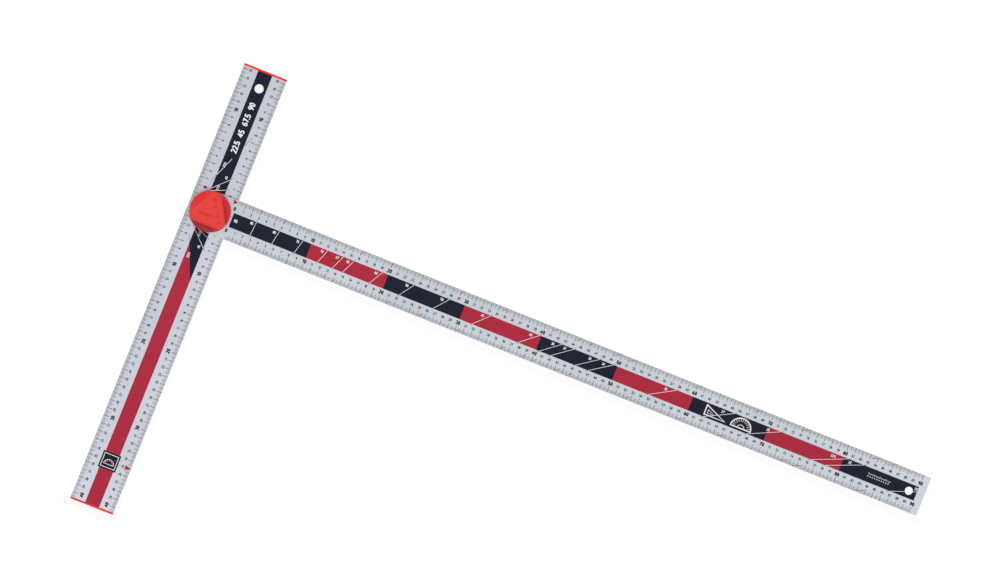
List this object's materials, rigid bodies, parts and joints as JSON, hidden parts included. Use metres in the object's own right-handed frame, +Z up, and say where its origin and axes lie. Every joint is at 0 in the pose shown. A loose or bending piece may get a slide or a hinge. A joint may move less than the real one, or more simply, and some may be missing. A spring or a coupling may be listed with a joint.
{
  "type": "adjustable set square",
  "caption": "Folding T-shaped set square: a graduated blade swings and clicks round on a graduated hollow head and is clamped by a lobed knob.",
  "frame": {"origin": "on the pivot axis, in the plane of the head's underside", "axes": "+X along the blade to its far end, +Y along the head to its short end, +Z up through the knob"},
  "size_m": [0.965, 0.565, 0.0359],
  "materials": {
    "head_aluminium": "satin anodised extrusion with printed scales",
    "blade_aluminium": "satin anodised rule with printed scales",
    "cap_red": "moulded, semi-gloss",
    "knob_red": "moulded, fine texture",
    "black_moulding": "moulded, glass-filled",
    "zinc_steel": "zinc plated",
    "spring_steel": "drawn wire",
    "ball_steel": "ground and polished",
    "nylon": "natural nylon",
    "brass": "turned",
    "ink_black": "printed, matt",
    "ink_navy": "printed band, matt",
    "ink_red": "printed, matt",
    "ink_white": "printed, matt"
  },
  "bodies": {
    "head": {"head_rail": "head_aluminium", "end_cap_top": "cap_red", "end_cap_bottom": "cap_red", "pivot_block": "black_moulding", "block_screws": "zinc_steel", "access_plug": "black_moulding", "pivot_bolt": "zinc_steel", "pivot_sleeve": "zinc_steel", "friction_washer": "nylon", "detent_spring_a": "spring_steel", "detent_spring_b": "spring_steel"},
    "blade": {"blade_rule": "blade_aluminium", "blade_bush": "nylon"},
    "washer": {"thrust_washer": "zinc_steel"},
    "knob": {"knob_insert": "brass", "knob_body": "knob_red"},
    "ball_a": {"detent_ball_a": "ball_steel"},
    "ball_b": {"detent_ball_b": "ball_steel"}
  },
  "joints": [
    {"name": "blade_turn", "type": "hinge", "parent": "head", "child": "blade", "pos_m": [0, 0, 0.016], "axis": [0, 0, 1], "range_deg": [-90, 90]},
    {"name": "knob_lift", "type": "slide", "parent": "head", "child": "washer", "axis": [0, 0, 1], "range_m": [0, 0.00125]},
    {"name": "knob_turn", "type": "hinge", "parent": "washer", "child": "knob", "pos_m": [0, 0, 0.025], "axis": [0, 0, 1], "range_deg": [0, 360]},
    {"name": "detent_a", "type": "slide", "parent": "head", "child": "ball_a", "axis": [0, 0, 1], "range_m": [0, 0.0006], "stiffness_N_per_m": 100, "springref_m": 0.01, "deforming": ["detent_spring_a"]},
    {"name": "detent_b", "type": "slide", "parent": "head", "child": "ball_b", "axis": [0, 0, 1], "range_m": [0, 0.0006], "stiffness_N_per_m": 100, "springref_m": 0.01, "deforming": ["detent_spring_b"]}
  ],
  "couplings": [
    {"joint": "knob_lift", "follows": "knob_turn", "m_per_rad": 0.00019894},
    {"joint": "detent_b", "follows": "detent_a", "ratio": 1}
  ]
}
